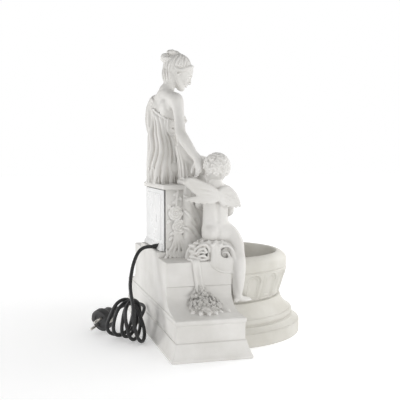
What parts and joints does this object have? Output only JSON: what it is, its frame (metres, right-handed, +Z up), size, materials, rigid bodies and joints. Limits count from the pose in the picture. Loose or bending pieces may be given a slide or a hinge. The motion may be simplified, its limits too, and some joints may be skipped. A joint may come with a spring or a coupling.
{
  "type": "tabletop fountain statue",
  "caption": "Tabletop fountain: half-round basin before a stepped block, seated draped woman and winged child on a pedestal, rear pump cover and mains lead.",
  "frame": {"origin": "centre of the footprint on the surface the fountain stands on, without the lead", "axes": "+X along the long block, away from the garland end; +Y to the pump cover's side; the basin faces -Y; +Z up"},
  "size_m": [0.428, 0.3717, 0.4885],
  "materials": {
    "casting": "matt off-white cast resin and stone powder",
    "cover": "smooth white plastic",
    "cord": "black flexible sheath",
    "plug": "black moulded plug",
    "pins": "nickel-plated pins"
  },
  "bodies": {
    "root": {"fountain_casting": "casting", "pump_cover": "cover", "cord_grommet": "cord", "cord_lead": "cord", "cord_hank": "cord", "cord_tail": "cord", "plug_body": "plug", "plug_pin_1": "pins", "plug_pin_2": "pins"}
  },
  "joints": []
}
